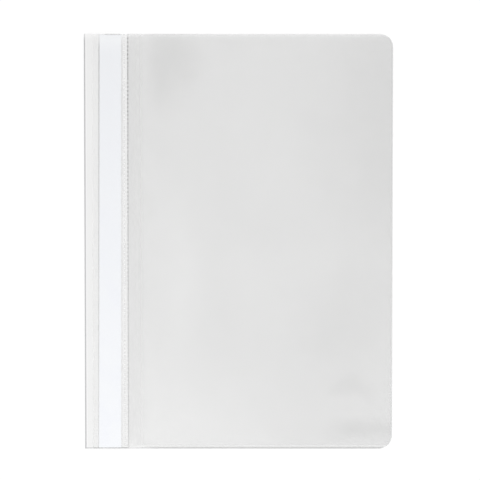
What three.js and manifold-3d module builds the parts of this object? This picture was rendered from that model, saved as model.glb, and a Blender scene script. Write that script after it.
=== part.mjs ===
// A4 report file, lying closed on its rear cover with the spine to the left.
// White film wraps the rear, the spine and a label panel on the front. A clear
// sheet is welded over the panel, holds a paper label there and goes on as the
// front cover. Inside, a metal prong strip holds punched sheets under a
// compressor bar with two slide locks. Millimetres, +Z up.
import * as THREE from "three";
import { mergeVertices } from "three/addons/utils/BufferGeometryUtils.js";
import Module from "manifold-3d";

const wasm = await Module();
wasm.setup();

// Folder
const folderWidth = 230;
const folderHeight = 310;
const cornerRadius = 10; // free corners of both covers
const spineCornerRadius = 1; // film corners at the two ends of the spine
const whiteFilm = 0.2;
const clearFilm = 0.15;
const airGap = 0.05; // between pieces that lie on each other
const coverGap = 0.3; // air between the front and the rear cover

// Label panel, counted from the outside of the spine
const clearMargin = 6.1; // white film left bare beside the spine
const nearWeld = 4.5;
const farWeld = 4.3;
const labelWidth = 16.3;
const labelPaper = 0.2;
const labelInset = 0.5; // from the top and bottom edges of the folder
const labelPlay = 0.1; // beside the label, at each edge
const pocketRamp = 0.55; // where the clear film rises over the label

// Fold lines
const foldGap = 0.1; // from a fold line to the films beside it
const spineFoldRise = 0.05; // the spine's fold line above the white film
const coverFoldRise = 0.3; // the cover's fold line above the clear film
const drapeLength = 26; // where the front cover comes down from the panel

// Prong strip, for sheets punched 80 mm apart and 12 mm from their edge
const holeSpacing = 80;
const holeMargin = 12;
const paperInset = 3; // from the outside of the spine to the sheets' edge
const prongMetal = 0.3;
const prongWidth = 6;
const prongBend = 0.35; // inner radius
const prongLeg = 28; // the folded length of each prong
const slotPlay = 0.5; // beside the metal, on each side of a slot

// Filing strip, the white film that the prongs come through
const filingLength = 300;
const filingWidth = 28;
const filingInset = 2.4; // from the outside of the spine
const filingWeld = 4;
const filingRampIn = 3;
const filingRampOut = 4;

// Compressor bar
const barWidth = 12;
const barThickness = 1.5;
const barEnd = 12; // beyond each prong
const barCornerRadius = 3;
const barChamfer = 0.3;
const barFlange = 2; // the thin edge that the slide locks grip
const barFlangeThickness = 0.8;
const channelDepth = 0.4; // for the folded prongs

// Slide locks
const lockLength = 9;
const lockWall = 0.6;
const lockLip = 0.5;
const lockClearance = 0.1; // between a lock and the bar
const lockFromProng = 16; // from a prong to the middle of its lock
const lockRound = 0.35;
const gripGrooves = 4;
const gripGrooveRadius = 0.5;
const gripGrooveDepth = 0.2;
const lockHeadroom = 0.35; // under the label panel

const arcSteps = 8; // for each quarter of a round

// Places
const spineX = -folderWidth / 2;
const freeX = folderWidth / 2;
const topY = folderHeight / 2;
const prongX = spineX + paperInset + holeMargin;
const prongY = holeSpacing / 2;
const prongZ = whiteFilm + airGap;
const filingZ = prongZ + prongMetal + airGap;
const barZ = filingZ + whiteFilm + airGap;
const barTop = barZ + barThickness;
const lockCapZ = barTop + lockClearance;
const lockTop = lockCapZ + lockWall;
const panelZ = lockTop + lockHeadroom;
const panelTop = panelZ + whiteFilm;
const spineRadius = panelTop / 2;
const spineFoldX = spineX + spineRadius;
const pocketSide = labelPlay + pocketRamp;
const pocketX = spineX + clearMargin + nearWeld;
const pocketWidth = labelWidth + 2 * pocketSide;
const pocketRise = labelPaper + 2 * airGap;
const coverFoldX = pocketX + pocketWidth + farWeld;
const coverZ = whiteFilm + coverGap;
const channelZ = barTop - channelDepth;
const legZ = channelZ + airGap;
const slotWidth = prongWidth + 2 * slotPlay;

// Materials
const whiteFilmFinish = finish(0xe6e7e8, 0.45);
const clearFilmFinish = finish(0xdfe1e2, 0.3);
clearFilmFinish.transparent = true;
clearFilmFinish.opacity = 0.45;
const paperFinish = finish(0xf2f4f8, 0.85);
const metalFinish = finish(0xb9bcbf, 0.3, 0.9);
const barFinish = finish(0xeceded, 0.4);

function finish(color, roughness, metalness = 0) {
  return new THREE.MeshStandardMaterial({ color, roughness, metalness });
}

// Solids

function solidOf(geometry) {
  const bare = new THREE.BufferGeometry();
  const loose = geometry.index ? geometry.toNonIndexed() : geometry;
  bare.setAttribute("position", loose.getAttribute("position"));
  const merged = mergeVertices(bare, 1e-4);
  return new wasm.Manifold(
    new wasm.Mesh({
      numProp: 3,
      vertProperties: merged.attributes.position.array,
      triVerts: new Uint32Array(merged.index.array),
    }),
  );
}

function geometryOf(solid) {
  const mesh = solid.getMesh();
  const geometry = new THREE.BufferGeometry();
  geometry.setAttribute("position", new THREE.BufferAttribute(mesh.vertProperties, 3));
  geometry.setIndex(new THREE.BufferAttribute(mesh.triVerts, 1));
  const flat = geometry.toNonIndexed();
  flat.computeVertexNormals();
  return flat;
}

// A section drawn in X and Z, run along Y about the middle of the folder.
function runAlongY(section, length, middleY = 0) {
  const geometry = extrude(section, length);
  geometry.rotateX(Math.PI / 2);
  geometry.translate(0, middleY + length / 2, 0);
  return solidOf(geometry);
}

// A side view drawn in Y and Z, run along X about a middle line.
function runAlongX(sideView, width, middleX) {
  const geometry = extrude(sideView, width);
  geometry.rotateX(Math.PI / 2);
  geometry.rotateZ(Math.PI / 2);
  geometry.translate(middleX - width / 2, 0, 0);
  return solidOf(geometry);
}

// A plan drawn in X and Y, raised from one height to another.
function raise(plan, fromZ, toZ) {
  const geometry = extrude(plan, toZ - fromZ);
  geometry.translate(0, 0, fromZ);
  return solidOf(geometry);
}

function extrude(shape, depth) {
  return new THREE.ExtrudeGeometry(shape, {
    depth,
    bevelEnabled: false,
    curveSegments: arcSteps,
    steps: 1,
  });
}

// A rectangle whose corners have one radius at the left and one at the right.
function roundedPlan(left, right, bottom, top, leftRadius, rightRadius) {
  const plan = new THREE.Shape();
  plan.moveTo(left + leftRadius, bottom);
  plan.lineTo(right - rightRadius, bottom);
  plan.absarc(right - rightRadius, bottom + rightRadius, rightRadius, -Math.PI / 2, 0);
  plan.lineTo(right, top - rightRadius);
  plan.absarc(right - rightRadius, top - rightRadius, rightRadius, 0, Math.PI / 2);
  plan.lineTo(left + leftRadius, top);
  plan.absarc(left + leftRadius, top - leftRadius, leftRadius, Math.PI / 2, Math.PI);
  plan.lineTo(left, bottom + leftRadius);
  plan.absarc(left + leftRadius, bottom + leftRadius, leftRadius, Math.PI, 1.5 * Math.PI);
  return plan;
}

// Film that runs level between ramps. Each stretch is [end of ramp x, level z, end x].
function filmSection(startX, startZ, stretches, thickness) {
  const section = new THREE.Shape();
  const path = [{ x: startX, z: startZ }];
  for (const [rampEndX, levelZ, endX] of stretches) {
    path.push({ x: rampEndX, z: levelZ, ramp: true });
    path.push({ x: endX, z: levelZ });
  }
  section.moveTo(startX, startZ);
  for (let i = 1; i < path.length; i += 1) {
    drawFilm(section, path[i - 1], path[i], path[i].ramp, 0);
  }
  const end = path[path.length - 1];
  section.lineTo(end.x, end.z + thickness);
  for (let i = path.length - 1; i > 0; i -= 1) {
    drawFilm(section, path[i], path[i - 1], path[i].ramp, thickness);
  }
  return section;
}

function drawFilm(section, from, to, ramp, lift) {
  if (ramp && from.z !== to.z) {
    const midX = (from.x + to.x) / 2;
    section.bezierCurveTo(midX, from.z + lift, midX, to.z + lift, to.x, to.z + lift);
  } else {
    section.lineTo(to.x, to.z + lift);
  }
}

// Pieces

// One white film: the rear cover and the spine that curls up from it.
function rearCover() {
  const section = new THREE.Shape();
  section.moveTo(freeX, 0);
  section.lineTo(spineFoldX, 0);
  section.absarc(spineFoldX, spineRadius, spineRadius, -Math.PI / 2, Math.PI / 2, true);
  section.lineTo(spineFoldX, panelZ);
  section.absarc(spineFoldX, spineRadius, spineRadius - whiteFilm, Math.PI / 2, -Math.PI / 2, false);
  section.lineTo(freeX, whiteFilm);
  const outline = roundedPlan(spineX, freeX, -topY, topY, spineCornerRadius, cornerRadius);
  return runAlongY(section, folderHeight).intersect(raise(outline, -1, panelTop + 1));
}

// The white film's front flap, which carries the label.
function labelPanel() {
  const section = filmSection(
    spineFoldX + foldGap,
    panelZ,
    [[spineFoldX + foldGap, panelZ, coverFoldX - foldGap]],
    whiteFilm,
  );
  return runAlongY(section, folderHeight);
}

// The clear sheet's part on the panel: welded at both edges, raised over the label.
function labelWindow() {
  const section = filmSection(
    spineX + clearMargin,
    panelTop,
    [
      [spineX + clearMargin, panelTop, pocketX],
      [pocketX + pocketRamp, panelTop + pocketRise, pocketX + pocketWidth - pocketRamp],
      [pocketX + pocketWidth, panelTop, coverFoldX - foldGap],
    ],
    clearFilm,
  );
  return runAlongY(section, folderHeight);
}

function labelInsert() {
  const left = pocketX + pocketSide;
  const bottom = panelTop + airGap;
  const length = folderHeight - 2 * labelInset;
  const section = filmSection(left, bottom, [[left, bottom, left + labelWidth]], labelPaper);
  return runAlongY(section, length);
}

// The clear sheet's free part, draped from the panel to the rear cover.
function frontCover() {
  const start = coverFoldX + foldGap;
  const section = filmSection(start, panelTop, [[start + drapeLength, coverZ, freeX]], clearFilm);
  const outline = roundedPlan(start, freeX, -topY, topY, spineCornerRadius, cornerRadius);
  return runAlongY(section, folderHeight).intersect(raise(outline, 0, panelTop + 1));
}

// Film welded beside the spine, lifted over the prong strip, loose at its right.
function filingStrip() {
  const left = spineX + filingInset;
  const right = left + filingWidth;
  const rampInEnd = left + filingWeld + filingRampIn;
  const looseX = prongX + barWidth / 2;
  const section = filmSection(
    left,
    whiteFilm,
    [
      [left, whiteFilm, left + filingWeld],
      [rampInEnd, filingZ, looseX],
      [looseX + filingRampOut, prongZ, right],
    ],
    whiteFilm,
  );
  return prongSides().reduce(
    (strip, side) => strip.subtract(prongSlot(side, prongZ, barZ)),
    runAlongY(section, filingLength),
  );
}

function prongSides() {
  return [1, -1];
}

// The opening that one prong passes through.
function prongSlot(side, fromZ, toZ) {
  const inside = prongY - prongMetal / 2 - prongBend - slotPlay / 2;
  const outside = prongY + prongMetal / 2 + slotPlay;
  const ends = [side * inside, side * outside].sort((a, b) => a - b);
  const left = prongX - slotWidth / 2;
  const plan = new THREE.Shape();
  plan.moveTo(left, ends[0]);
  plan.lineTo(left + slotWidth, ends[0]);
  plan.lineTo(left + slotWidth, ends[1]);
  plan.lineTo(left, ends[1]);
  return raise(plan, fromZ, toZ);
}

// One metal strip: flat under the film, up at each end and folded in over the bar.
function metalProngs() {
  const inner = prongBend;
  const outer = prongBend + prongMetal;
  const bendY = prongY + prongMetal / 2 - outer;
  const tipY = prongY - prongLeg;
  const lowBendZ = prongZ + outer;
  const highBendZ = legZ + prongMetal - outer;
  const side = new THREE.Shape();
  side.moveTo(-bendY, prongZ);
  side.lineTo(bendY, prongZ);
  side.absarc(bendY, lowBendZ, outer, -Math.PI / 2, 0);
  side.absarc(bendY, highBendZ, outer, 0, Math.PI / 2);
  side.lineTo(tipY, legZ + prongMetal);
  side.lineTo(tipY, legZ);
  side.absarc(bendY, highBendZ, inner, Math.PI / 2, 0, true);
  side.absarc(bendY, lowBendZ, inner, 0, -Math.PI / 2, true);
  side.absarc(-bendY, lowBendZ, inner, -Math.PI / 2, Math.PI, true);
  side.absarc(-bendY, highBendZ, inner, Math.PI, Math.PI / 2, true);
  side.lineTo(-tipY, legZ);
  side.lineTo(-tipY, legZ + prongMetal);
  side.absarc(-bendY, highBendZ, outer, Math.PI / 2, Math.PI);
  side.absarc(-bendY, lowBendZ, outer, Math.PI, 1.5 * Math.PI);
  return runAlongX(side, prongWidth, prongX).subtract(aroundTips(tipY));
}

// What the round ends of the two prongs leave over between them.
function aroundTips(tipY) {
  const radius = prongWidth / 2;
  const centreY = tipY + radius;
  const plan = new THREE.Shape();
  plan.moveTo(prongX - radius - 1, -centreY);
  plan.lineTo(prongX - radius, -centreY);
  plan.absarc(prongX, -centreY, radius, Math.PI, 0, true);
  plan.lineTo(prongX + radius + 1, -centreY);
  plan.lineTo(prongX + radius + 1, centreY);
  plan.lineTo(prongX + radius, centreY);
  plan.absarc(prongX, centreY, radius, 0, -Math.PI, true);
  plan.lineTo(prongX - radius - 1, centreY);
  return raise(plan, channelZ, barTop);
}

// A moulded bar with thin side flanges, two slots and a channel for the prongs.
function compressorBar() {
  const half = barWidth / 2;
  const body = half - barFlange;
  const flangeZ = barTop - barFlangeThickness;
  const section = new THREE.Shape();
  section.moveTo(prongX - body, barZ);
  section.lineTo(prongX + body, barZ);
  section.lineTo(prongX + body, flangeZ);
  section.lineTo(prongX + half, flangeZ);
  section.lineTo(prongX + half, barTop - barChamfer);
  section.lineTo(prongX + half - barChamfer, barTop);
  section.lineTo(prongX - half + barChamfer, barTop);
  section.lineTo(prongX - half, barTop - barChamfer);
  section.lineTo(prongX - half, flangeZ);
  section.lineTo(prongX - body, flangeZ);
  const halfLength = prongY + barEnd;
  const outline = roundedPlan(
    prongX - half,
    prongX + half,
    -halfLength,
    halfLength,
    barCornerRadius,
    barCornerRadius,
  );
  const channelEnd = prongY + prongMetal / 2 + slotPlay;
  const channel = roundedPlan(
    prongX - slotWidth / 2,
    prongX + slotWidth / 2,
    -channelEnd,
    channelEnd,
    slotPlay,
    slotPlay,
  );
  const bar = runAlongY(section, 2 * halfLength)
    .intersect(raise(outline, 0, lockTop))
    .subtract(raise(channel, channelZ, lockTop));
  return prongSides().reduce((cut, side) => cut.subtract(prongSlot(side, 0, lockTop)), bar);
}

// A sleeve that slides along the bar and holds a folded prong down.
function slideLock(middleY) {
  const innerHalf = barWidth / 2 + lockClearance;
  const outerHalf = innerHalf + lockWall;
  const lipTop = barTop - barFlangeThickness - lockClearance;
  const lipBottom = lipTop - lockLip;
  const lipHalf = barWidth / 2 - barFlange + slotPlay;
  const section = new THREE.Shape();
  section.moveTo(prongX - lipHalf, lipBottom);
  section.lineTo(prongX - lipHalf, lipTop);
  section.lineTo(prongX - innerHalf, lipTop);
  section.lineTo(prongX - innerHalf, lockCapZ);
  section.lineTo(prongX + innerHalf, lockCapZ);
  section.lineTo(prongX + innerHalf, lipTop);
  section.lineTo(prongX + lipHalf, lipTop);
  section.lineTo(prongX + lipHalf, lipBottom);
  section.lineTo(prongX + outerHalf, lipBottom);
  section.lineTo(prongX + outerHalf, lockTop - lockRound);
  section.absarc(prongX + outerHalf - lockRound, lockTop - lockRound, lockRound, 0, Math.PI / 2);
  section.lineTo(prongX - outerHalf + lockRound, lockTop);
  section.absarc(
    prongX - outerHalf + lockRound,
    lockTop - lockRound,
    lockRound,
    Math.PI / 2,
    Math.PI,
  );
  section.lineTo(prongX - outerHalf, lipBottom);
  const sleeve = runAlongY(section, lockLength, middleY);
  return sleeve.intersect(runAlongX(gripView(middleY, lipBottom), 2 * outerHalf, prongX));
}

// A lock from the side: round top ends, and grip grooves across its cap.
function gripView(middleY, bottomZ) {
  const half = lockLength / 2;
  const pitch = lockLength / (gripGrooves + 1);
  const grooveZ = lockTop + gripGrooveRadius - gripGrooveDepth;
  const spread = Math.acos(1 - gripGrooveDepth / gripGrooveRadius);
  const side = new THREE.Shape();
  side.moveTo(middleY - half, bottomZ);
  side.lineTo(middleY + half, bottomZ);
  side.lineTo(middleY + half, lockTop - lockRound);
  side.absarc(middleY + half - lockRound, lockTop - lockRound, lockRound, 0, Math.PI / 2);
  for (let i = gripGrooves; i > 0; i -= 1) {
    const y = middleY - half + i * pitch;
    const down = -Math.PI / 2;
    side.absarc(y, grooveZ, gripGrooveRadius, down + spread, down - spread, true);
  }
  side.absarc(middleY - half + lockRound, lockTop - lockRound, lockRound, Math.PI / 2, Math.PI);
  return side;
}

// Assembly

const folder = new THREE.Group();

function add(name, solid, material) {
  const mesh = new THREE.Mesh(geometryOf(solid), material);
  mesh.name = name;
  folder.add(mesh);
}

add("rear_cover", rearCover(), whiteFilmFinish);
add("filing_strip", filingStrip(), whiteFilmFinish);
add("metal_prongs", metalProngs(), metalFinish);
add("compressor_bar", compressorBar(), barFinish);
add("upper_slide_lock", slideLock(prongY - lockFromProng), barFinish);
add("lower_slide_lock", slideLock(lockFromProng - prongY), barFinish);
add("label_panel", labelPanel(), whiteFilmFinish);
add("label_window", labelWindow(), clearFilmFinish);
add("label_insert", labelInsert(), paperFinish);
add("front_cover", frontCover(), clearFilmFinish);

export default folder;
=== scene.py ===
"""Report file lying closed on a white table, seen from above.

White film makes the rear cover, the spine and the label panel. A clear sheet is welded
over the panel, holds the paper label there and goes on as the front cover.
"""

import math

import bmesh
import bpy
from mathutils import Matrix, Vector, noise


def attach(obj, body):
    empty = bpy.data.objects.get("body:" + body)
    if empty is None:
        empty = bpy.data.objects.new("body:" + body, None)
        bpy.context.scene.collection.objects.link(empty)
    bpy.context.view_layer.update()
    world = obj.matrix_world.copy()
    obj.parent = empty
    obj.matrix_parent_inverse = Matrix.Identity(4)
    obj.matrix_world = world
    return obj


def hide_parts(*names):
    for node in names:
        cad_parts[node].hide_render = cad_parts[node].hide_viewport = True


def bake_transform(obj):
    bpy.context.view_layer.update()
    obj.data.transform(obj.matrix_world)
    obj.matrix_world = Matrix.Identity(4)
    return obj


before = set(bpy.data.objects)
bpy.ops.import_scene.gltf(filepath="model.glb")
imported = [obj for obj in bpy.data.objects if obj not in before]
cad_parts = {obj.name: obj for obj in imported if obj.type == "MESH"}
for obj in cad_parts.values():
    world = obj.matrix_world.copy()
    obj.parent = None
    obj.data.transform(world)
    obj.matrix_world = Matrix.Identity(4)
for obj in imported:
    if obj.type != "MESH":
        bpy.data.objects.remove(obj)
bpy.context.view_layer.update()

# Sizes in metres, as the solids have them
LEFT, RIGHT = -0.115, 0.115
HALF_HEIGHT = 0.155
CORNER = 0.010
WHITE_FILM = 0.0002
CLEAR_FILM = 0.00015
SPINE_FOLD = -0.1132
SPINE_AXIS = 0.0018
PANEL_END = -0.0826
PANEL_LEVEL = 0.0035
PANEL_TOP = 0.0036
SHEET_START = -0.1089
POCKET_START = -0.1044
POCKET_END = -0.0868
POCKET_RISE = 0.0003
POCKET_RAMP = 0.00055
COVER_FOLD = -0.0825
COVER_LEVEL = 0.0005
DRAPE_END = -0.0564
LABEL_LEFT, LABEL_RIGHT = -0.10375, -0.08745
LABEL_HALF = 0.1545
LABEL_THICKNESS = 0.0002
LABEL_GAP = 0.00005
STRIP_LEFT, STRIP_RIGHT = -0.1126, -0.0846
STRIP_HALF = 0.150
STRIP_WELD = 0.004
STRIP_RAMP_IN = 0.003
STRIP_RAMP_OUT = 0.004
STRIP_LIFT, STRIP_DROP = 0.0004, 0.00035
PRONG_X = -0.100
STRIP_FALL = PRONG_X + 0.006
SLOT_HALF_WIDTH = 0.0035
SLOT_START, SLOT_END = 0.03925, 0.04065

# Sizes in metres, slopes and shares that only this script has, for the look
BORDER = 0.0001
WELD_GAP = 0.00001
STRIP_CORNER = 0.003
NEAR_WELD_HALF, FAR_WELD_HALF = 0.0020, 0.0021
WELD_LEAN = 0.0044
LEAN_FALL = 0.1
LEAN_CENTRE = 0.023
FOLD_LEAN = 0.002
FLAP_SHORTER_ABOVE, FLAP_SHORTER_BELOW = 0.0013, 0.0034
COVER_SWELL = 0.00045
LABEL_TOP_BAND = 0.1455
EMBOSS_PITCH = 0.003
RIB_PITCH = 0.0012
DOT_LINE = COVER_FOLD - 0.0025
EDGE_SHADE_HALF_WIDTH = 0.0007
SOFT_EDGE = 0.0003
DRIFT_X, DRIFT_Y = 0.04, 0.03
TABLE_HALF = 3.0
TABLE_TOP = -0.00005
TABLE_LIT, TABLE_SEEN, TABLE_GLOW = 0.78, 0.2, 0.85
FILM_LETS_THROUGH = 0.88

# Soft patches of the loose cover, where it touches the white film and where painted light and
# shade fall: weight, centre X and Y, reach X and Y
CONTACT_AND_LIGHT_PATCHES = (
    (0.50, -0.075, -0.175, 0.150, 0.130),
    (0.22, -0.047, -0.028, 0.028, 0.080),
    (-0.38, -0.059, 0.134, 0.038, 0.050),
    (-0.33, 0.125, 0.095, 0.100, 0.190),
    (-0.15, -0.074, 0.050, 0.016, 0.080),
    (-0.20, 0.085, -0.106, 0.022, 0.010),
    (-0.35, 0.088, -0.141, 0.040, 0.012),
    (-0.20, 0.080, -0.060, 0.050, 0.060),
)


# Mesh helpers


def new_piece(name, bm, material, thickness=0.0):
    mesh = bpy.data.meshes.new(name)
    bm.to_mesh(mesh)
    bm.free()
    for face in mesh.polygons:
        face.use_smooth = True
    mesh.materials.append(material)
    piece = bpy.data.objects.new(name, mesh)
    bpy.context.scene.collection.objects.link(piece)
    if thickness:
        wall = piece.modifiers.new("film thickness", "SOLIDIFY")
        wall.thickness = thickness
        wall.offset = 0.0
    return piece


def sheet(left, right, half, level, left_radius, right_radius):
    """A flat sheet with rounded corners, its left side at one X and its right at another."""
    bm = bmesh.new()
    bmesh.ops.create_grid(bm, x_segments=1, y_segments=1, size=0.5)
    place = Matrix.Translation(((left + right) / 2, 0, level))
    size = Matrix.Diagonal((right - left, 2 * half, 1, 1))
    bmesh.ops.transform(bm, matrix=place @ size, verts=bm.verts)
    for radius, side in ((left_radius, left), (right_radius, right)):
        corners = [v for v in bm.verts if abs(v.co.x - side) < 1e-6]
        if radius:
            bmesh.ops.bevel(
                bm,
                geom=corners,
                affect="VERTICES",
                offset=radius,
                offset_type="OFFSET",
                segments=10,
                profile=0.5,
                material=-1,
            )
    bmesh.ops.inset_region(
        bm, faces=bm.faces[:], thickness=BORDER, use_boundary=True, use_even_offset=True
    )
    return bm


def cut(bm, places, normal):
    """Cuts the whole mesh with planes across one axis, so that it can bend there."""
    for at in places:
        bmesh.ops.bisect_plane(
            bm,
            geom=bm.verts[:] + bm.edges[:] + bm.faces[:],
            dist=1e-6,
            plane_co=Vector(normal) * at,
            plane_no=normal,
        )


def steps(start, end, count):
    return [start + (end - start) * i / count for i in range(1, count)]


def height_cuts(half, count):
    return [BORDER - half, *steps(-half, half, count), half - BORDER]


def rise(value, start, end):
    t = min(max((value - start) / (end - start), 0.0), 1.0)
    return t * t * (3 - 2 * t)


def shortened(y, z):
    """The Y of a place on a film: the raised flap is a touch shorter than the cover."""
    share = FLAP_SHORTER_ABOVE if y > 0 else FLAP_SHORTER_BELOW
    return y * (1 - share * rise(z, COVER_LEVEL, PANEL_LEVEL))


def leaned(x, y):
    """The X of a place on the pocket, whose welds lean by a hair against the fold."""
    share = rise(x, SHEET_START, POCKET_START - 0.0002)
    share -= rise(x, POCKET_END + 0.0002, COVER_FOLD - 0.0008)
    lean = WELD_LEAN - LEAN_FALL * (x - POCKET_START)
    return x + (y - LEAN_CENTRE) * lean * share


# Node helpers


def grey(level):
    return (level, level, level, 1)


def new_material(name):
    material = bpy.data.materials.new(name)
    material.use_nodes = True
    tree = material.node_tree
    shader = tree.nodes["Principled BSDF"]
    return material, tree, shader


def calculate(tree, operation, *values, clamp=False):
    node = tree.nodes.new("ShaderNodeMath")
    node.operation = operation
    node.use_clamp = clamp
    for socket, value in zip(node.inputs, values):
        give(tree, socket, value)
    return node.outputs[0]


def give(tree, socket, value):
    if isinstance(value, bpy.types.NodeSocket):
        tree.links.new(value, socket)
    else:
        socket.default_value = value


def place_group(tree, group, **values):
    node = tree.nodes.new("ShaderNodeGroup")
    node.node_tree = group
    for name, value in values.items():
        give(tree, node.inputs[name.replace("_", " ")], value)
    return node.outputs


def mix_colour(tree, factor, first, second):
    node = tree.nodes.new("ShaderNodeMix")
    node.data_type = "RGBA"
    give(tree, node.inputs["Factor"], factor)
    give(tree, node.inputs["A"], first)
    give(tree, node.inputs["B"], second)
    return node.outputs["Result"]


def mix_value(tree, factor, first, second):
    node = tree.nodes.new("ShaderNodeMix")
    node.data_type = "FLOAT"
    give(tree, node.inputs["Factor"], factor)
    give(tree, node.inputs["A"], first)
    give(tree, node.inputs["B"], second)
    return node.outputs["Result"]


def new_group(name, inputs, outputs):
    group = bpy.data.node_groups.new(name, "ShaderNodeTree")
    for label, kind, default in inputs:
        socket = group.interface.new_socket(label, in_out="INPUT", socket_type=kind)
        if default is not None:
            socket.default_value = default
    for label, kind in outputs:
        group.interface.new_socket(label, in_out="OUTPUT", socket_type=kind)
    start = group.nodes.new("NodeGroupInput")
    end = group.nodes.new("NodeGroupOutput")
    return group, start.outputs, end.inputs


def grain_group():
    """Fine even grain with a slower unevenness under it, both from 0 to 1."""
    group, given, wanted = new_group(
        "fine grain",
        [
            ("Place", "NodeSocketVector", None),
            ("Grain Size", "NodeSocketFloat", 0.0004),
            ("Patch Size", "NodeSocketFloat", 0.04),
        ],
        [("Grain", "NodeSocketFloat"), ("Patches", "NodeSocketFloat")],
    )
    for size, output, detail in (("Grain Size", "Grain", 2.0), ("Patch Size", "Patches", 3.0)):
        texture = group.nodes.new("ShaderNodeTexNoise")
        texture.inputs["Detail"].default_value = detail
        group.links.new(given["Place"], texture.inputs["Vector"])
        scale = calculate(group, "DIVIDE", 1.0, given[size])
        group.links.new(scale, texture.inputs["Scale"])
        group.links.new(texture.outputs["Fac"], wanted[output])
    return group


def band_group():
    """1 inside a band about a centre, falling to 0 over a soft edge."""
    group, given, wanted = new_group(
        "band",
        [
            ("Value", "NodeSocketFloat", 0.0),
            ("Centre", "NodeSocketFloat", 0.0),
            ("Half Width", "NodeSocketFloat", 0.001),
            ("Edge", "NodeSocketFloat", 0.0002),
        ],
        [("Mask", "NodeSocketFloat")],
    )
    away = calculate(
        group, "ABSOLUTE", calculate(group, "SUBTRACT", given["Value"], given["Centre"])
    )
    inside = calculate(group, "SUBTRACT", given["Half Width"], away)
    mask = calculate(
        group, "ADD", calculate(group, "DIVIDE", inside, given["Edge"]), 0.5, clamp=True
    )
    group.links.new(mask, wanted["Mask"])
    return group


def marks_group():
    """Pressed marks repeated along a line: 1 on each mark and 0 between them."""
    group, given, wanted = new_group(
        "pressed marks",
        [
            ("Value", "NodeSocketFloat", 0.0),
            ("Pitch", "NodeSocketFloat", 0.003),
            ("Share", "NodeSocketFloat", 0.5),
        ],
        [("Mask", "NodeSocketFloat")],
    )
    turns = calculate(group, "DIVIDE", given["Value"], given["Pitch"])
    wave = calculate(group, "PINGPONG", turns, 0.5)
    level = calculate(group, "MULTIPLY", wave, 2.0)
    limit = calculate(group, "SUBTRACT", 1.0, given["Share"])
    over = calculate(group, "SUBTRACT", level, limit)
    mask = calculate(group, "ADD", calculate(group, "MULTIPLY", over, 5.0), 0.5, clamp=True)
    group.links.new(mask, wanted["Mask"])
    return group


def patch_group():
    """1 in the middle of a soft oval patch, falling to 0 at its reach."""
    group, given, wanted = new_group(
        "soft patch",
        [
            ("X", "NodeSocketFloat", 0.0),
            ("Y", "NodeSocketFloat", 0.0),
            ("Centre X", "NodeSocketFloat", 0.0),
            ("Centre Y", "NodeSocketFloat", 0.0),
            ("Reach X", "NodeSocketFloat", 0.05),
            ("Reach Y", "NodeSocketFloat", 0.05),
        ],
        [("Mask", "NodeSocketFloat")],
    )
    spread = []
    for side in ("X", "Y"):
        away = calculate(group, "SUBTRACT", given[side], given["Centre " + side])
        share = calculate(group, "DIVIDE", away, given["Reach " + side])
        spread.append(calculate(group, "MULTIPLY", share, share))
    inside = calculate(group, "SUBTRACT", 1.0, calculate(group, "ADD", *spread), clamp=True)
    group.links.new(calculate(group, "MULTIPLY", inside, inside), wanted["Mask"])
    return group


def outline_group():
    """How far inside the sheet's outline a place is: its right corners are rounded."""
    group, given, wanted = new_group(
        "inside the outline",
        [
            ("X", "NodeSocketFloat", 0.0),
            ("Y", "NodeSocketFloat", 0.0),
            ("Right", "NodeSocketFloat", 0.1),
            ("Half Height", "NodeSocketFloat", 0.1),
            ("Corner", "NodeSocketFloat", 0.01),
        ],
        [("Depth", "NodeSocketFloat")],
    )
    over = []
    for place, limit in (
        (given["X"], given["Right"]),
        (calculate(group, "ABSOLUTE", given["Y"]), given["Half Height"]),
    ):
        start = calculate(group, "SUBTRACT", limit, given["Corner"])
        past = calculate(group, "MAXIMUM", calculate(group, "SUBTRACT", place, start), 0.0)
        over.append(calculate(group, "MULTIPLY", past, past))
    reach = calculate(group, "SQRT", calculate(group, "ADD", *over))
    depth = calculate(group, "SUBTRACT", given["Corner"], reach)
    group.links.new(depth, wanted["Depth"])
    return group


GRAIN = grain_group()
BAND = band_group()
MARKS = marks_group()
PATCH = patch_group()
OUTLINE = outline_group()


def place_of(tree):
    """The place on the piece, whole and as X and Y."""
    where = tree.nodes.new("ShaderNodeTexCoord").outputs["Object"]
    parts = tree.nodes.new("ShaderNodeSeparateXYZ")
    tree.links.new(where, parts.inputs[0])
    return where, parts.outputs["X"], parts.outputs["Y"]


def bump(tree, shader, height, distance, strength=1.0):
    node = tree.nodes.new("ShaderNodeBump")
    node.inputs["Strength"].default_value = strength
    node.inputs["Distance"].default_value = distance
    tree.links.new(height, node.inputs["Height"])
    tree.links.new(node.outputs["Normal"], shader.inputs["Normal"])


def slope(tree, value, start, end):
    """0 before the start and 1 after the end, with soft ends."""
    node = tree.nodes.new("ShaderNodeMapRange")
    node.interpolation_type = "SMOOTHSTEP"
    for name, given in (("Value", value), ("From Min", start), ("From Max", end)):
        give(tree, node.inputs[name], given)
    return node.outputs["Result"]


def band(tree, value, centre, half_width, edge=0.0002):
    return place_group(
        tree, BAND, Value=value, Centre=centre, Half_Width=half_width, Edge=edge
    )["Mask"]


# Materials


def lower_end(tree, on_cover):
    """The Y of the film's lower end: on the shorter label flap, or on the covers."""
    return mix_value(tree, on_cover, -HALF_HEIGHT * (1 - FLAP_SHORTER_BELOW), -HALF_HEIGHT)


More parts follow.
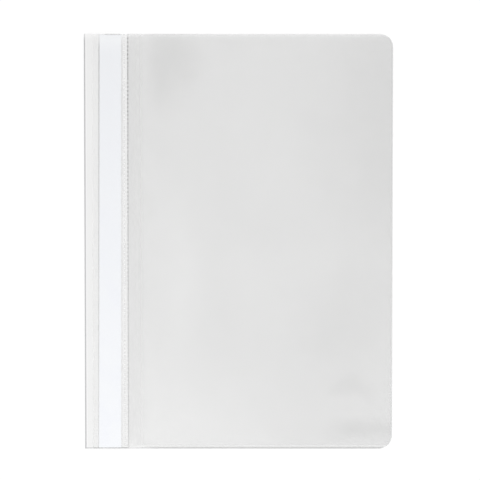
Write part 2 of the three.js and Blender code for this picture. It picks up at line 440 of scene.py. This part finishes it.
def contact_and_light_mask(tree, where, x, y, unevenness):
    """How closely the loose cover lies on the white film, clearer where it touches; the
    patches also paint light and shade, lighter towards the lower left and darker towards the
    upper right.
    """
    mask = mix_value(tree, unevenness, 0.4, 0.6)
    drift = place_group(tree, GRAIN, Place=where, Grain_Size=0.03, Patch_Size=0.045)
    x = calculate(tree, "SUBTRACT", x, DRIFT_X / 2)
    y = calculate(tree, "SUBTRACT", y, DRIFT_Y / 2)
    x = calculate(tree, "MULTIPLY_ADD", drift["Grain"], DRIFT_X, x)
    y = calculate(tree, "MULTIPLY_ADD", drift["Patches"], DRIFT_Y, y)
    for weight, centre_x, centre_y, reach_x, reach_y in CONTACT_AND_LIGHT_PATCHES:
        patch = place_group(
            tree,
            PATCH,
            X=x,
            Y=y,
            Centre_X=centre_x,
            Centre_Y=centre_y,
            Reach_X=reach_x,
            Reach_Y=reach_y,
        )["Mask"]
        mask = calculate(tree, "MULTIPLY_ADD", patch, weight, mask, clamp=True)
    return mask


def white_film_material():
    material, tree, shader = new_material("white film")
    where, x, y = place_of(tree)
    grain = place_group(tree, GRAIN, Place=where, Grain_Size=0.0005, Patch_Size=0.05)
    colour = mix_colour(
        tree, grain["Patches"], (0.848, 0.849, 0.848, 1), (0.892, 0.892, 0.889, 1)
    )
    # Painted shade on the spine's rounded edge, and a painted highlight just inside it
    painted_fold_shade = band(tree, x, LEFT, 0.0011, SOFT_EDGE)
    painted_fold_highlight = band(tree, x, LEFT + 0.0017, 0.0003, SOFT_EDGE)
    colour = mix_colour(tree, painted_fold_shade, colour, (0.60, 0.60, 0.61, 1))
    colour = mix_colour(tree, painted_fold_highlight, colour, (0.93, 0.93, 0.94, 1))
    # Painted light: the film is lighter towards its top end
    painted_light_near_top = slope(tree, y, HALF_HEIGHT - 0.006, HALF_HEIGHT + 0.001)
    colour = mix_colour(tree, painted_light_near_top, colour, grey(0.94))
    on_rear = slope(tree, x, PANEL_END, PANEL_END + 0.0002)
    # Painted shade in a grey band along the film's lower cut end
    painted_edge_shade = band(tree, y, lower_end(tree, on_rear), EDGE_SHADE_HALF_WIDTH, SOFT_EDGE)
    colour = mix_colour(tree, painted_edge_shade, colour, (0.6, 0.6, 0.61, 1))
    tree.links.new(colour, shader.inputs["Base Color"])
    roughness = mix_value(tree, grain["Patches"], 0.38, 0.48)
    tree.links.new(roughness, shader.inputs["Roughness"])
    bump(tree, shader, grain["Grain"], 0.00002)
    return material


def leaning_line(tree, x, y):
    """X as the leaning welds see it, and how far Y is from the centre of their lean."""
    lean = calculate(
        tree, "MULTIPLY_ADD", x, -LEAN_FALL, WELD_LEAN + LEAN_FALL * POCKET_START
    )
    off_centre = calculate(tree, "SUBTRACT", y, LEAN_CENTRE)
    line = calculate(tree, "SUBTRACT", x, calculate(tree, "MULTIPLY", off_centre, lean))
    return line, off_centre


def pocket_edge_bead_and_shade_mask(tree, line, y):
    """The pocket's dark side edges, partly the weld's bead and partly painted shade where the
    film ramps over the label, stronger upwards but faint beside its open end.
    """
    near_edge = band(tree, line, POCKET_START + 0.00025, 0.00038, SOFT_EDGE)
    far_edge = band(tree, line, POCKET_END, 0.0005, SOFT_EDGE)
    far_edge = calculate(tree, "MULTIPLY", far_edge, 0.45)
    edges = calculate(tree, "MAXIMUM", near_edge, far_edge)
    fade = calculate(tree, "MULTIPLY_ADD", y, 1.6, 0.75, clamp=True)
    edges = calculate(tree, "MULTIPLY", edges, fade)
    open_end = slope(tree, y, LABEL_TOP_BAND - 0.001, LABEL_TOP_BAND + 0.007)
    closed = calculate(tree, "MULTIPLY_ADD", open_end, -0.7, 1.0)
    return calculate(tree, "MULTIPLY", edges, closed)


def emboss_masks(tree, where, x, y, off_centre):
    """The embossed dots beside the crease, made light by a nearly opaque film as a painted
    highlight, and the embossed dashes on the crease, darkened as painted shade that is
    stronger upwards.
    """
    stretch = tree.nodes.new("ShaderNodeMapping")
    stretch.inputs["Scale"].default_value = (0.0, 1.0, 0.0)
    tree.links.new(where, stretch.inputs["Vector"])
    along = place_group(
        tree, GRAIN, Place=stretch.outputs["Vector"], Grain_Size=0.02, Patch_Size=0.03
    )
    pressure = slope(tree, along["Patches"], 0.40, 0.52)
    marks = place_group(tree, MARKS, Value=y, Pitch=EMBOSS_PITCH, Share=0.5)["Mask"]
    pressed = calculate(tree, "MULTIPLY", marks, pressure)
    lit_dots = calculate(tree, "MULTIPLY", band(tree, x, DOT_LINE, 0.0004, 0.0001), pressed)
    fold_lean = calculate(tree, "MULTIPLY", off_centre, FOLD_LEAN)
    fold_line = calculate(tree, "SUBTRACT", x, fold_lean)
    crease = band(tree, fold_line, COVER_FOLD - 0.0001, 0.0005, SOFT_EDGE)
    fold_fade = calculate(tree, "MULTIPLY_ADD", y, 1.8, 0.5, clamp=True)
    dash_shade = calculate(tree, "MULTIPLY", mix_value(tree, pressure, 0.6, marks), fold_fade)
    return lit_dots, calculate(tree, "MULTIPLY", crease, dash_shade)


def painted_edge_shade_mask(tree, x, y, cover):
    """Painted shade along the film's lower cut end, and more faintly along the pocket's open
    top.
    """
    lower = band(tree, y, lower_end(tree, cover), EDGE_SHADE_HALF_WIDTH, SOFT_EDGE)
    top = band(tree, y, HALF_HEIGHT - 0.0006, 0.0005, SOFT_EDGE)
    over_label = band(tree, x, (LABEL_LEFT + LABEL_RIGHT) / 2 + 0.002, 0.0062, 0.003)
    top = calculate(tree, "MULTIPLY", calculate(tree, "MULTIPLY", top, over_label), 0.6)
    return calculate(tree, "MAXIMUM", lower, top)


def clear_film_masks(tree, where, x, y, unevenness):
    """Where the clear film is free, loose, welded, pressed or bordered, and where light and
    shade are painted on it.
    """
    line, off_centre = leaning_line(tree, x, y)
    cover = slope(tree, x, COVER_FOLD, COVER_FOLD + 0.0004)
    lit_dots, shaded_dashes = emboss_masks(tree, where, x, y, off_centre)
    depth = place_group(
        tree, OUTLINE, X=x, Y=y, Right=RIGHT, Half_Height=HALF_HEIGHT, Corner=CORNER
    )["Depth"]
    # Painted highlight in a light line just above the cover's lower edge
    painted_edge_highlight = band(tree, y, 0.0021 - HALF_HEIGHT, 0.0004, 0.0004)
    return {
        "cover": cover,
        "contact_and_light": contact_and_light_mask(tree, where, x, y, unevenness),
        "drape": slope(tree, x, DRAPE_END, COVER_FOLD),
        "by_fold": slope(tree, x, COVER_FOLD + 0.014, COVER_FOLD - 0.001),
        "near_weld": band(tree, line, (SHEET_START + POCKET_START) / 2, NEAR_WELD_HALF),
        "far_weld": band(tree, line, (POCKET_END + COVER_FOLD) / 2, FAR_WELD_HALF),
        "pocket_edge_bead_and_shade": pocket_edge_bead_and_shade_mask(tree, line, y),
        "lit_dots": lit_dots,
        "shaded_dashes": shaded_dashes,
        "border": calculate(tree, "MULTIPLY", cover, slope(tree, depth, 0.0009, 0.0004)),
        "painted_edge_highlight": calculate(tree, "MULTIPLY", painted_edge_highlight, cover),
        "painted_edge_shade": painted_edge_shade_mask(tree, x, y, cover),
    }


def clear_film_colour(tree, x, y, masks):
    # Contact and painted light and shade: lighter where the patches are high
    colour = mix_colour(tree, masks["contact_and_light"], grey(0.74), grey(0.97))
    # Painted light over the shade under the drape, lighter towards the bottom
    lower_part = calculate(tree, "MULTIPLY_ADD", y, -4.0, 0.5, clamp=True)
    painted_drape_light = mix_colour(tree, lower_part, grey(0.93), grey(1.0))
    colour = mix_colour(tree, masks["drape"], colour, painted_drape_light)
    # Painted light: the film is lighter at its top and bottom ends, and its border lighter at
    # the top end towards the right
    from_middle = calculate(tree, "ABSOLUTE", y)
    ends = slope(tree, from_middle, HALF_HEIGHT - 0.003, HALF_HEIGHT - 0.001)
    ends = calculate(tree, "MULTIPLY", ends, 0.5)
    top_end = slope(tree, y, HALF_HEIGHT - 0.003, HALF_HEIGHT - 0.001)
    lit = calculate(tree, "MULTIPLY", top_end, slope(tree, x, -0.06, -0.01))
    border_tone = mix_colour(tree, lit, grey(0.91), grey(1.0))
    for mask, tone in (
        (masks["far_weld"], grey(1.0)),
        (masks["near_weld"], grey(0.93)),
        (masks["pocket_edge_bead_and_shade"], (0.42, 0.425, 0.43, 1)),
        (masks["shaded_dashes"], (0.28, 0.28, 0.29, 1)),
        (ends, grey(1.0)),
        (masks["border"], border_tone),
        (masks["painted_edge_highlight"], grey(1.0)),
        (masks["painted_edge_shade"], grey(0.66)),
    ):
        colour = mix_colour(tree, mask, colour, tone)
    return colour


def clear_film_alpha(tree, masks):
    """How much of what is behind it each face of the film hides."""
    alpha = mix_value(tree, masks["contact_and_light"], 0.25, 0.16)
    alpha = mix_value(tree, masks["drape"], alpha, 0.21)
    # Beside the fold the film hides more, so that its painted light covers the shade under the
    # drape
    alpha = mix_value(tree, masks["by_fold"], alpha, 0.5)
    alpha = mix_value(tree, masks["cover"], 0.035, alpha)
    for name, share in (
        ("far_weld", 0.08),
        ("near_weld", 0.09),
        ("pocket_edge_bead_and_shade", 0.22),
        ("lit_dots", 0.95),
        ("shaded_dashes", 0.25),
        ("border", 0.6),
        ("painted_edge_highlight", 0.4),
        ("painted_edge_shade", 0.45),
    ):
        alpha = mix_value(tree, masks[name], alpha, share)
    return alpha


def clear_film_height(tree, y, grain, masks):
    """The film's fine grain, with the pressed marks and the weld's ribs sunk into it."""
    ribs = place_group(tree, MARKS, Value=y, Pitch=RIB_PITCH, Share=0.5)["Mask"]
    ribs = calculate(tree, "MULTIPLY", masks["near_weld"], ribs)
    pressed = calculate(tree, "ADD", masks["lit_dots"], masks["shaded_dashes"])
    pressed = calculate(tree, "ADD", pressed, calculate(tree, "MULTIPLY", ribs, 0.15))
    return calculate(tree, "SUBTRACT", calculate(tree, "MULTIPLY", grain, 0.04), pressed)


def clear_film_material():
    material, tree, shader = new_material("clear film")
    where, x, y = place_of(tree)
    grain = place_group(tree, GRAIN, Place=where, Grain_Size=0.0006, Patch_Size=0.07)
    masks = clear_film_masks(tree, where, x, y, grain["Patches"])
    tree.links.new(clear_film_colour(tree, x, y, masks), shader.inputs["Base Color"])
    tree.links.new(clear_film_alpha(tree, masks), shader.inputs["Alpha"])
    roughness = mix_value(tree, grain["Grain"], 0.26, 0.36)
    tree.links.new(roughness, shader.inputs["Roughness"])
    bump(tree, shader, clear_film_height(tree, y, grain["Grain"], masks), 0.00012)
    return material


def label_paper_material():
    material, tree, shader = new_material("label paper")
    where, _, y = place_of(tree)
    fibres = place_group(tree, GRAIN, Place=where, Grain_Size=0.0003, Patch_Size=0.015)
    colour = mix_colour(
        tree, fibres["Grain"], (0.925, 0.942, 0.97, 1), (0.95, 0.965, 0.99, 1)
    )
    bluish = calculate(tree, "MULTIPLY", slope(tree, fibres["Patches"], 0.4, 0.65), 0.5)
    colour = mix_colour(tree, bluish, colour, (0.905, 0.92, 0.975, 1))
    # Painted shade: the label is darker towards its top; the band near its top end is lighter
    # again
    painted_shade_towards_top = calculate(tree, "MULTIPLY_ADD", y, 3.2, 0.5, clamp=True)
    colour = mix_colour(tree, painted_shade_towards_top, colour, (0.88, 0.893, 0.92, 1))
    near_end = slope(tree, y, LABEL_TOP_BAND - 0.006, LABEL_TOP_BAND + 0.005)
    colour = mix_colour(tree, near_end, colour, (0.92, 0.932, 0.95, 1))
    tree.links.new(colour, shader.inputs["Base Color"])
    roughness = mix_value(tree, fibres["Patches"], 0.82, 0.92)
    tree.links.new(roughness, shader.inputs["Roughness"])
    bump(tree, shader, fibres["Grain"], 0.00003)
    return material


def prong_steel_material():
    material, tree, shader = new_material("plated prong steel")
    where, _, _ = place_of(tree)
    stretch = tree.nodes.new("ShaderNodeMapping")
    stretch.inputs["Scale"].default_value = (1.0, 0.02, 1.0)
    tree.links.new(where, stretch.inputs["Vector"])
    brushed = place_group(
        tree, GRAIN, Place=stretch.outputs["Vector"], Grain_Size=0.00012, Patch_Size=0.002
    )
    colour = mix_colour(tree, brushed["Grain"], (0.62, 0.63, 0.64, 1), (0.74, 0.74, 0.75, 1))
    tree.links.new(colour, shader.inputs["Base Color"])
    shader.inputs["Metallic"].default_value = 1.0
    roughness = mix_value(tree, brushed["Grain"], 0.22, 0.38)
    tree.links.new(roughness, shader.inputs["Roughness"])
    bump(tree, shader, brushed["Grain"], 0.00001)
    return material


def bar_plastic_material():
    material, tree, shader = new_material("moulded white plastic")
    where, _, _ = place_of(tree)
    grain = place_group(tree, GRAIN, Place=where, Grain_Size=0.0004, Patch_Size=0.006)
    colour = mix_colour(tree, grain["Patches"], (0.80, 0.81, 0.81, 1), (0.86, 0.86, 0.865, 1))
    tree.links.new(colour, shader.inputs["Base Color"])
    roughness = mix_value(tree, grain["Patches"], 0.3, 0.42)
    tree.links.new(roughness, shader.inputs["Roughness"])
    bump(tree, shader, grain["Grain"], 0.00002)
    return material


WHITE = white_film_material()
CLEAR = clear_film_material()
PAPER = label_paper_material()
STEEL = prong_steel_material()
PLASTIC = bar_plastic_material()


# Pieces


def make_white_film():
    """Rear cover, spine and label panel: one film, curled round at the spine."""
    rear_level = WHITE_FILM / 2
    bm = sheet(SPINE_FOLD, RIGHT, HALF_HEIGHT, rear_level, 0, CORNER)
    cut(bm, height_cuts(HALF_HEIGHT, 31), (0, 1, 0))
    cut(bm, steps(SPINE_FOLD, RIGHT, 24), (1, 0, 0))
    edge = [e for e in bm.edges if all(abs(v.co.x - SPINE_FOLD) < 1e-6 for v in e.verts)]
    spun = bmesh.ops.spin(
        bm,
        geom=edge,
        cent=(SPINE_FOLD, 0, SPINE_AXIS),
        axis=(0, 1, 0),
        angle=math.pi,
        steps=16,
        use_duplicate=False,
    )
    edge = [g for g in spun["geom_last"] if isinstance(g, bmesh.types.BMEdge)]
    panel = bmesh.ops.extrude_edge_only(bm, edges=edge)
    ends = [g for g in panel["geom"] if isinstance(g, bmesh.types.BMVert)]
    bmesh.ops.translate(bm, vec=(PANEL_END - SPINE_FOLD, 0, 0), verts=ends)
    bmesh.ops.remove_doubles(bm, verts=bm.verts, dist=1e-6)
    cut(bm, [PANEL_END - BORDER], (1, 0, 0))
    for v in bm.verts:
        v.co.y = shortened(v.co.y, v.co.z)
    bmesh.ops.recalc_face_normals(bm, faces=bm.faces)
    piece = new_piece("white_film", bm, WHITE, WHITE_FILM)
    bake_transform(piece)
    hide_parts("rear_cover", "label_panel")


def clear_sheet_level(x, y):
    """Height of the middle of the clear sheet above the table."""
    on_panel = PANEL_TOP + WELD_GAP + CLEAR_FILM / 2
    lift = rise(x, POCKET_START, POCKET_START + POCKET_RAMP)
    lift -= rise(x, POCKET_END - POCKET_RAMP, POCKET_END)
    drop = rise(x, COVER_FOLD + 0.0001, DRAPE_END)
    down = on_panel - (COVER_LEVEL + CLEAR_FILM / 2)
    loose = rise(x, DRAPE_END - 0.01, 0.02)
    swell = 0.5 + 0.5 * noise.noise(Vector((x * 14 + 3.1, y * 9 + 1.7, 0.4)))
    return on_panel + POCKET_RISE * lift - down * drop + COVER_SWELL * loose * swell


def make_clear_sheet():
    """The clear film: welded to the label panel, then free as the front cover."""
    bm = sheet(SHEET_START, RIGHT, HALF_HEIGHT, 0, 0, CORNER)
    cut(bm, height_cuts(HALF_HEIGHT, 62), (0, 1, 0))
    across = steps(POCKET_START - 0.0001, POCKET_START + POCKET_RAMP + 0.0001, 8)
    across += steps(POCKET_END - POCKET_RAMP - 0.0001, POCKET_END + 0.0001, 8)
    across += steps(COVER_FOLD - 0.0007, COVER_FOLD + 0.0007, 8)
    across += steps(COVER_FOLD + 0.0007, DRAPE_END, 16)
    across += [DRAPE_END] + steps(DRAPE_END, RIGHT, 36)
    cut(bm, across, (1, 0, 0))
    for v in bm.verts:
        v.co.z = clear_sheet_level(v.co.x, v.co.y)
        v.co.x = leaned(v.co.x, v.co.y)
        v.co.y = shortened(v.co.y, v.co.z)
    bmesh.ops.recalc_face_normals(bm, faces=bm.faces)
    piece = new_piece("clear_sheet", bm, CLEAR, CLEAR_FILM)
    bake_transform(piece)
    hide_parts("label_window", "front_cover")


def make_label():
    level = PANEL_TOP + LABEL_GAP + LABEL_THICKNESS / 2
    bm = sheet(LABEL_LEFT, LABEL_RIGHT, LABEL_HALF, level, 0, 0)
    cut(bm, height_cuts(LABEL_HALF, 20), (0, 1, 0))
    for v in bm.verts:
        v.co.x = leaned(v.co.x, v.co.y)
        v.co.y = shortened(v.co.y, v.co.z)
    piece = new_piece("paper_label", bm, PAPER, LABEL_THICKNESS)
    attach(piece, "label_flap")
    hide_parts("label_insert")


def filing_strip_level(x):
    """Height of the middle of the filing strip, lifted over the prong strip."""
    welded = 1.5 * WHITE_FILM + WELD_GAP
    ramp = STRIP_LEFT + STRIP_WELD
    lift = rise(x, ramp, ramp + STRIP_RAMP_IN)
    drop = rise(x, STRIP_FALL, STRIP_FALL + STRIP_RAMP_OUT)
    return welded + STRIP_LIFT * lift - STRIP_DROP * drop


def make_filing_strip():
    """The inner film strip, punched where the two prongs come through."""
    bm = sheet(STRIP_LEFT, STRIP_RIGHT, STRIP_HALF, 0, 0, STRIP_CORNER)
    slot_sides = [PRONG_X - SLOT_HALF_WIDTH, PRONG_X + SLOT_HALF_WIDTH]
    slot_ends = [end * y for end in (1, -1) for y in (SLOT_START, SLOT_END)]
    cut(bm, height_cuts(STRIP_HALF, 20) + slot_ends, (0, 1, 0))
    cut(bm, steps(STRIP_LEFT, STRIP_RIGHT, 28) + slot_sides, (1, 0, 0))
    punched = [
        f
        for f in bm.faces
        if abs(f.calc_center_median().x - PRONG_X) < SLOT_HALF_WIDTH
        and SLOT_START < abs(f.calc_center_median().y) < SLOT_END
    ]
    bmesh.ops.delete(bm, geom=punched, context="FACES")
    for v in bm.verts:
        v.co.z = filing_strip_level(v.co.x)
    bmesh.ops.recalc_face_normals(bm, faces=bm.faces)
    piece = new_piece("filing_strip_film", bm, WHITE, WHITE_FILM)
    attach(piece, "rear")
    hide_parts("filing_strip")


def finish_solid(node, material):
    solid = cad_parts[node]
    solid.data.materials.clear()
    solid.data.materials.append(material)


make_white_film()
make_clear_sheet()
make_label()
make_filing_strip()
finish_solid("metal_prongs", STEEL)
for node in ("compressor_bar", "upper_slide_lock", "lower_slide_lock"):
    finish_solid(node, PLASTIC)


# Table, light and camera


def seen_directly(tree):
    """1 for what the camera sees, straight or in a gloss or through a clear thing."""
    path = tree.nodes.new("ShaderNodeLightPath")
    seen = calculate(
        tree, "MAXIMUM", path.outputs["Is Camera Ray"], path.outputs["Is Glossy Ray"]
    )
    return calculate(tree, "MAXIMUM", seen, path.outputs["Is Transmission Ray"])


def make_table():
    bm = bmesh.new()
    bmesh.ops.create_grid(bm, x_segments=1, y_segments=1, size=TABLE_HALF)
    bmesh.ops.translate(bm, vec=(0, 0, TABLE_TOP), verts=bm.verts)
    material, tree, shader = new_material("white table")
    seen = seen_directly(tree)
    colour = mix_colour(tree, seen, grey(TABLE_LIT), grey(TABLE_SEEN))
    tree.links.new(colour, shader.inputs["Base Color"])
    shader.inputs["Roughness"].default_value = 1.0
    shader.inputs["Specular IOR Level"].default_value = 0.0
    shader.inputs["Emission Color"].default_value = grey(1.0)
    # The glow stands for lamp light, which a clear film also holds back on its way down
    through = tree.nodes.new("ShaderNodeLightPath").outputs["Transparent Depth"]
    glow = calculate(tree, "MULTIPLY", seen, TABLE_GLOW)
    passed = calculate(tree, "POWER", FILM_LETS_THROUGH, through)
    glow = calculate(tree, "MULTIPLY", glow, passed)
    tree.links.new(glow, shader.inputs["Emission Strength"])
    new_piece("table", bm, material)


def make_world():
    world = bpy.data.worlds.new("studio")
    world.use_nodes = True
    tree = world.node_tree
    background = tree.nodes["Background"]
    background.inputs["Color"].default_value = grey(1.0)
    strength = mix_value(tree, seen_directly(tree), 0.66, 1.0)
    tree.links.new(strength, background.inputs["Strength"])
    bpy.context.scene.world = world


def add_lamp(name, place, target, size, power):
    data = bpy.data.lights.new(name, "AREA")
    data.size = size
    data.energy = power
    lamp = bpy.data.objects.new(name, data)
    lamp.location = place
    aim = Vector(target) - Vector(place)
    lamp.rotation_euler = aim.to_track_quat("-Z", "Y").to_euler()
    bpy.context.scene.collection.objects.link(lamp)


def make_camera(place, degrees, lens):
    data = bpy.data.cameras.new("camera")
    data.sensor_width = 36.0
    data.lens = lens
    camera = bpy.data.objects.new("camera", data)
    camera.location = place
    camera.rotation_euler = [math.radians(angle) for angle in degrees]
    bpy.context.scene.collection.objects.link(camera)
    bpy.context.scene.camera = camera


make_table()
make_world()
add_lamp("far softbox", place=(1.9, 1.6, 2.6), target=(0, 0, 0), size=0.5, power=30.0)
add_lamp("near softbox", place=(-0.5, -0.6, 0.9), target=(-0.1, -0.1, 0), size=0.6, power=3.0)
make_camera(
    place=(0.004507, 0.069157, 1.5), degrees=(-2.5815, 0.1324, -0.0068), lens=150.754
)
bpy.context.scene.view_settings.view_transform = "Standard"
